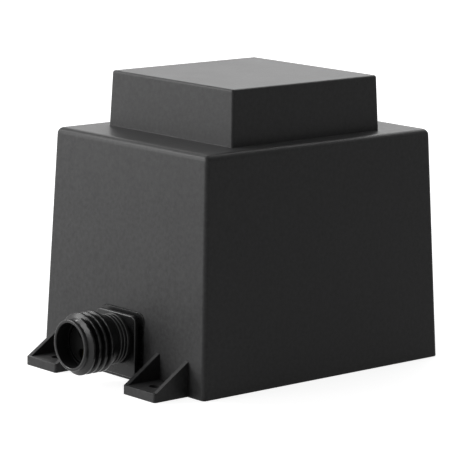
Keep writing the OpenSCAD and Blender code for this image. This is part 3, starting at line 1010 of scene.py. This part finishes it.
# %% Geometry trees with named inputs
def geometry_group(name, inputs):
    """A geometry tree with named inputs, and a wire for each of them."""
    group = bpy.data.node_groups.new(name, "GeometryNodeTree")
    for label, kind in [("Geometry", "NodeSocketGeometry"), *inputs]:
        group.interface.new_socket(label, in_out="INPUT", socket_type=kind)
    group.interface.new_socket("Geometry", in_out="OUTPUT", socket_type="NodeSocketGeometry")
    tree = Tree(group)
    entry = {wire.socket.name: wire for wire in tree.node("NodeGroupInput", out="all")}
    return group, tree, entry


def close_group(tree, shape, material):
    """Ends a geometry tree: real faces, smooth, with their finish."""
    real = tree.node("GeometryNodeRealizeInstances", {"Geometry": shape})
    smooth = tree.node("GeometryNodeSetShadeSmooth", {"Geometry": real})
    coated = tree.node("GeometryNodeSetMaterial", {"Geometry": smooth, "Material": material})
    tree.node("NodeGroupOutput", {"Geometry": coated})


def grown(piece, group, values):
    """Runs a geometry tree on a piece and keeps the plain mesh."""
    step = piece.modifiers.new(group.name, "NODES")
    step.node_group = group
    for entry in group.interface.items_tree:
        if entry.in_out == "INPUT" and entry.name in values:
            step[entry.identifier] = values[entry.name]
    settle(piece)


print("geometry trees can be written and kept")

# %% [markdown]
# The tree of the thread lifts each point of the spigot's outer skin by a rule: how far the point
# lies, along the axis, from the nearest turn of the helix. The lift fades over a short run at both
# ends.

# %% Geometry tree of the thread
THREAD_PHASE = 1.25


def thread_group():
    lengths = ["Pitch", "Height", "Start", "Foot width", "Crest width", "Skin radius"]
    inputs = [(label, "NodeSocketFloat") for label in [*lengths, "Turns", "Run-out"]]
    group, tree, entry = geometry_group("blunt_thread", inputs)
    place = tree.node("GeometryNodeInputPosition")
    x, y, station = tree.node("ShaderNodeSeparateXYZ", {"Vector": place}, out="all")
    radius = (x * x + y * y).math("SQRT")
    turn = (THREAD_PHASE - y.math("ARCTAN2", x) / (2 * math.pi)).math("FRACT")
    depth = (entry["Start"] - station) / entry["Pitch"]
    along = (depth - turn).math("ROUND") + turn
    offset = ((depth - along) * entry["Pitch"]).math("ABSOLUTE")
    flank = (entry["Foot width"] - entry["Crest width"]) / 2
    crest = ((entry["Foot width"] / 2 - offset) / flank).clamped()
    blunt = (along / entry["Run-out"]).clamped()
    ending = ((entry["Turns"] - along) / entry["Run-out"]).clamped()
    lift = entry["Height"] * crest * blunt.eased() * ending.eased()
    out_x, out_y = x / radius * lift, y / radius * lift
    outwards = tree.node("ShaderNodeCombineXYZ", {"X": out_x, "Y": out_y})
    moved = tree.node("GeometryNodeSetPosition", {
        "Geometry": entry["Geometry"],
        "Selection": radius.math("GREATER_THAN", entry["Skin radius"]),
        "Offset": outwards,
    })
    close_group(tree, moved, OUTLET)
    return group


thread_tree = thread_group()
print("tree:", thread_tree.name, "nodes:", len(thread_tree.nodes))

# %% Thread on the spigot
THREAD_HEIGHT = 2.0 * MM
THREAD_START = 2.3 * MM
THREAD_TURNS = 3.85
THREAD_RUN_OUT = 0.07
FOOT_SHARE = 0.88
CREST_SHARE = 0.30
grown(outlet, thread_tree, {
    "Pitch": THREAD_PITCH,
    "Height": THREAD_HEIGHT,
    "Start": RIM_AT - THREAD_START,
    "Foot width": FOOT_SHARE * THREAD_PITCH,
    "Crest width": CREST_SHARE * THREAD_PITCH,
    "Skin radius": (NECK_R + SPIGOT_R) / 2,
    "Turns": THREAD_TURNS,
    "Run-out": THREAD_RUN_OUT,
})
outlet.data.transform(facing(outlet_axis, FRONT_WALL))
print("threaded spigot, faces:", len(outlet.data.polygons))

# %% [markdown]
# ## The outlet's plate and flange
# Behind the thread stands a square plate, then a groove and a thin flange that lies on the housing.
# All three are slabs with round corners, and the front edges of the plate and the flange are
# softened. A bevelled box would do, but corner and edge have different radii, which a loft takes as
# they are. The slabs have a hole that ends inside the spigot's wall, so the union is clean.

# %% Plate, groove and flange
PLATE_HALF = Vector((12.0 * MM, 12.2 * MM))
PLATE_CORNER = 2.4 * MM
PLATE_EDGE = 0.4 * MM
GROOVE_DEPTH = 2.8 * MM
GROOVE_CORNER = 2.0 * MM
FLANGE_T = 1.0 * MM
FLANGE_BACK = gasket_high.y - gasket_low.y
FLANGE_FRONT = FLANGE_BACK + FLANGE_T
FLANGE_EDGE = 0.08 * MM
OVERLAP = 0.2 * MM
OUTLET_SHARP = 42


def slab(half_x, half_y, corner, start, end, edge=0.0):
    """A plate from one station to another, with its front edge rounded."""
    rings = [rounded_ring(half_x, half_y, corner, start)]
    for rise, turn in quarter_turn(EDGE_STEPS) if edge else [(1, 0)]:
        inset = edge * turn
        station = end - edge * (1 - rise)
        rings.append(rounded_ring(half_x - inset, half_y - inset, corner - inset, station))
    return loft(rings)


def add_slab(*sizes):
    piece = as_piece("slab", slab(*sizes), facing(flange_middle, FRONT_WALL))
    bore_skin = cylinder((CARRIER_R + NECK_R) / 2, -WALL, 3 * WALL)
    bore = as_piece("bore", bore_skin, facing(outlet_axis, FRONT_WALL))
    combine(piece, bore, "DIFFERENCE")
    combine(outlet, piece, "UNION")


add_slab(flange_half_x, flange_half_y, FLANGE_CORNER, FLANGE_BACK, FLANGE_FRONT, FLANGE_EDGE)
groove_half = PLATE_HALF - Vector((GROOVE_DEPTH, GROOVE_DEPTH))
add_slab(*groove_half, GROOVE_CORNER, FLANGE_FRONT - OVERLAP, PLATE_BACK + OVERLAP)
add_slab(*PLATE_HALF, PLATE_CORNER, PLATE_BACK, PLATE_FRONT, PLATE_EDGE)
finished(outlet, OUTLET, "outlet_socket", sharp=OUTLET_SHARP)

# %% [markdown]
# ## The neck seal
# A rubber sleeve sits on the neck between the plate and the thread, and three round ribs on it take
# the squeeze of the mating nut. It could be turned from one profile. But the ribs are equal and
# evenly spaced, so a geometry tree sweeps one ring, sets it on the points of a line and joins it
# with the sleeve, which is a rectangle swept round the neck.

# %% Geometry tree of the ribbed sleeve
RIB_STEPS = 12


def circle_curve(tree, radius, steps):
    sockets = {"Resolution": steps, "Radius": radius}
    return tree.node("GeometryNodeCurvePrimitiveCircle", sockets)


def swept(tree, curve, profile):
    return tree.node("GeometryNodeCurveToMesh", {"Curve": curve, "Profile Curve": profile})


def ribbed_sleeve_group():
    lengths = ["Neck radius", "Outer radius", "Thickness", "Length"]
    lengths += ["First rib", "Rib radius", "Rib pitch"]
    inputs = [("Ribs", "NodeSocketInt"), *((label, "NodeSocketFloat") for label in lengths)]
    group, tree, entry = geometry_group("ribbed_sleeve", inputs)
    rib_path = circle_curve(tree, entry["Outer radius"] - entry["Rib radius"], ROUND_STEPS)
    rib = swept(tree, rib_path, circle_curve(tree, entry["Rib radius"], RIB_STEPS))
    line = tree.node("GeometryNodeMeshLine", {
        "Count": entry["Ribs"],
        "Start Location": tree.node("ShaderNodeCombineXYZ", {"Z": entry["First rib"]}),
        "Offset": tree.node("ShaderNodeCombineXYZ", {"Z": entry["Rib pitch"]}),
    })
    ribs = tree.node("GeometryNodeInstanceOnPoints", {"Points": line, "Instance": rib})
    section = tree.node("GeometryNodeCurvePrimitiveQuadrilateral", {
        "Width": entry["Thickness"],
        "Height": entry["Length"],
    })
    tube_path = circle_curve(tree, entry["Neck radius"] + entry["Thickness"] / 2, ROUND_STEPS)
    tube = swept(tree, tube_path, section)
    middle = tree.node("ShaderNodeCombineXYZ", {"Z": entry["Length"] / 2})
    sleeve = tree.node("GeometryNodeTransform", {"Geometry": tube, "Translation": middle})
    joined = tree.node("GeometryNodeJoinGeometry", {"Geometry": [ribs, sleeve]})
    close_group(tree, joined, RUBBER)
    return group


sleeve_tree = ribbed_sleeve_group()
print("tree:", sleeve_tree.name, "nodes:", len(sleeve_tree.nodes))

# %% Seal on the neck
seal_low, seal_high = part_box("outlet_neck_seal")
SEAL_T = 0.35 * MM
RIB_R = 0.45 * MM
RIB_FIRST = 1.35 * MM
RIB_PITCH = 1.6 * MM
RIB_COUNT = 3
seal = placed("neck_seal", bpy.data.meshes.new("neck_seal"))
grown(seal, sleeve_tree, {
    "Ribs": RIB_COUNT,
    "Neck radius": NECK_R,
    "Thickness": SEAL_T,
    "Length": seal_high.y - seal_low.y,
    "First rib": RIB_FIRST,
    "Rib radius": RIB_R,
    "Rib pitch": RIB_PITCH,
    "Outer radius": (seal_high.x - seal_low.x) / 2,
})
seal.data.transform(facing(Vector((0, seal_high.y, outlet_axis.z)), FRONT_WALL))
finished(seal, RUBBER, "outlet_neck_seal")

# %% [markdown]
# ## The contact carrier
# In the middle of the socket stands a plug of insulating plastic with two deep holes, one above the
# other, and a contact at the bottom of each. The free ring round it takes the sleeve of the mating
# plug. The carrier's plastic is duller than the outlet's, and its colour is set near black as
# painted shade of the deep socket. The pale line along its round edge is a painted highlight. It
# could be painted in an image, but here it is found by its distance from the axis.

# %% Finish of the carrier
CARRIER_EDGE = 0.5 * MM
CARRIER_DUST_SIZE = 0.8 * MM
CARRIER_DUST_HEIGHT = 0.02 * MM


def insert_plastic():
    """Near black as painted shade of the socket, with a painted highlight along its round edge."""
    material, tree, where = new_material("insert_plastic")
    x, _, z = tree.node("ShaderNodeSeparateXYZ", {"Vector": where}, out="all")
    height = z - outlet_axis.z
    radius = (x * x + height * height).math("SQRT")
    # Painted highlight: a pale line along the carrier's round edge, found by distance from the
    # axis.
    painted_edge_highlight = ((radius - (CARRIER_R - CARRIER_EDGE)) / CARRIER_EDGE).clamped()
    dust = tree.noise(where, CARRIER_DUST_SIZE, detail=4, roughness=0.6)
    # Near-black face colour: painted shade of the deep socket.
    face = tree.mix(dust, (0.001, 0.001, 0.001), (0.003, 0.003, 0.003))
    return surfaced(material, tree, {
        "Base Color": tree.mix(0.8 * painted_edge_highlight, face, (0.10, 0.10, 0.10)),
        "Roughness": 0.42 + 0.2 * dust,
        "Normal": tree.bump(dust, CARRIER_DUST_HEIGHT),
        "Specular IOR Level": 0.05,
    })


INSERT = insert_plastic()
print("finish:", INSERT.name)

# %% [markdown]
# The carrier is a loft of circles with a rounded front edge. Its holes lie beside its axis, so they
# can't be turned with it: booleans drill them, each with a cutter that flares at the mouth.

# %% Carrier with its contact holes
CARRIER_STEPS = 5
CONTACT_R = 2.0 * MM
CONTACT_FLARE = 0.35 * MM
CONTACT_SPACING = 8.8 * MM


def carrier_rings():
    rings = [circle(CARRIER_R, CARRIER_BACK)]
    for rise, turn in quarter_turn(CARRIER_STEPS):
        station = CARRIER_FACE - CARRIER_EDGE * (1 - rise)
        rings.append(circle(CARRIER_R - CARRIER_EDGE * turn, station))
    return rings


def contact_cutter(height):
    rings = [
        circle(CONTACT_R, CARRIER_BACK - WALL),
        circle(CONTACT_R, CARRIER_FACE - CONTACT_FLARE),
        circle(CONTACT_R + 2 * CONTACT_FLARE, CARRIER_FACE + CONTACT_FLARE),
    ]
    place = outlet_axis + Vector((0, 0, height))
    return as_piece("cutter", loft(rings), facing(place, FRONT_WALL))


carrier = as_piece("contact_insert", loft(carrier_rings()), facing(outlet_axis, FRONT_WALL))
for side in (-1, 1):
    combine(carrier, contact_cutter(side * CONTACT_SPACING / 2), "DIFFERENCE")
finished(carrier, INSERT, "contact_carrier")

# %% [markdown]
# ## The mains bush
# A rubber bush lines the hole in the back wall. It has a domed flange outside and a lip inside, and
# its bore is where a mains lead is cast in. Cylinders could be joined and bevelled, but all of it
# is round, so one turned profile gives the flange's edge and the mouth of the bore their own radii.

# %% Turned bush
CORD_R = mounts["mains_entry"]["dims"]["r_mm"] * MM
BUSH_DOME = 1.5 * MM
DOME_STEPS = 6
BUSH_MOUTH = 0.5 * MM
BUSH_LIP_R = 7.6 * MM
BUSH_LIP = 2.0 * MM


def bush_profile():
    lip_end = bush_low.y - bush_axis.y
    profile = [(CORD_R, lip_end), (BUSH_LIP_R, lip_end), (BUSH_LIP_R, lip_end + BUSH_LIP)]
    profile += [(BUSH_R, lip_end + BUSH_LIP), (BUSH_R, 0), (bush_flange_r, 0)]
    for rise, turn in quarter_turn(DOME_STEPS):
        profile.append((bush_flange_r - BUSH_DOME * turn, BUSH_FLANGE - BUSH_DOME * (1 - rise)))
    for rise, turn in quarter_turn(EDGE_STEPS):
        profile.append((CORD_R + BUSH_MOUTH * (1 - rise), BUSH_FLANGE - BUSH_MOUTH * turn))
    return profile


bush = as_piece("mains_entry_bush", turned(bush_profile()), facing(bush_axis, BACK_WALL))
finished(bush, RUBBER, "mains_bush")

# %% [markdown]
# ## The edge of the resin
# The resin closes the base a millimetre inside the rim. Where it wets the wall it creeps towards
# the rim, so a narrow hollow fillet runs all round. A bump could only hint at it, and its slope
# should catch the light. So it is a closed loft on the inside of the wall.

# %% Fillet of resin along the wall
RESIN_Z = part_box("potting_resin")[0].z
# Away from the wall and out of the resin, in millimetres.
CREEP = [
    (0.0, 0.45), (0.2, 0.26), (0.55, 0.12), (1.1, 0.03), (1.7, 0.0), (1.7, -0.3), (0.0, -0.3),
]
fillet_rings = []
for away, creep in CREEP:
    fillet_z = RESIN_Z - creep * MM
    fillet_rings.append(box_ring(WALL + DRAFT * fillet_z + away * MM, INNER_EDGE, fillet_z))
resin_fillet = as_piece("resin_fillet", loft(fillet_rings, closed=True))
finished(resin_fillet, RESIN)

# %% [markdown]
# ## Size
# The box of the dressed part is printed beside the box of its solids. The dressed part
# may not be larger than its solids.

# %% Print both boxes
shown_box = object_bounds()
print("CAD box in mm:", in_mm(cad_box[0]), in_mm(cad_box[1]))
print("visual box in mm:", in_mm(shown_box[0]), in_mm(shown_box[1]))
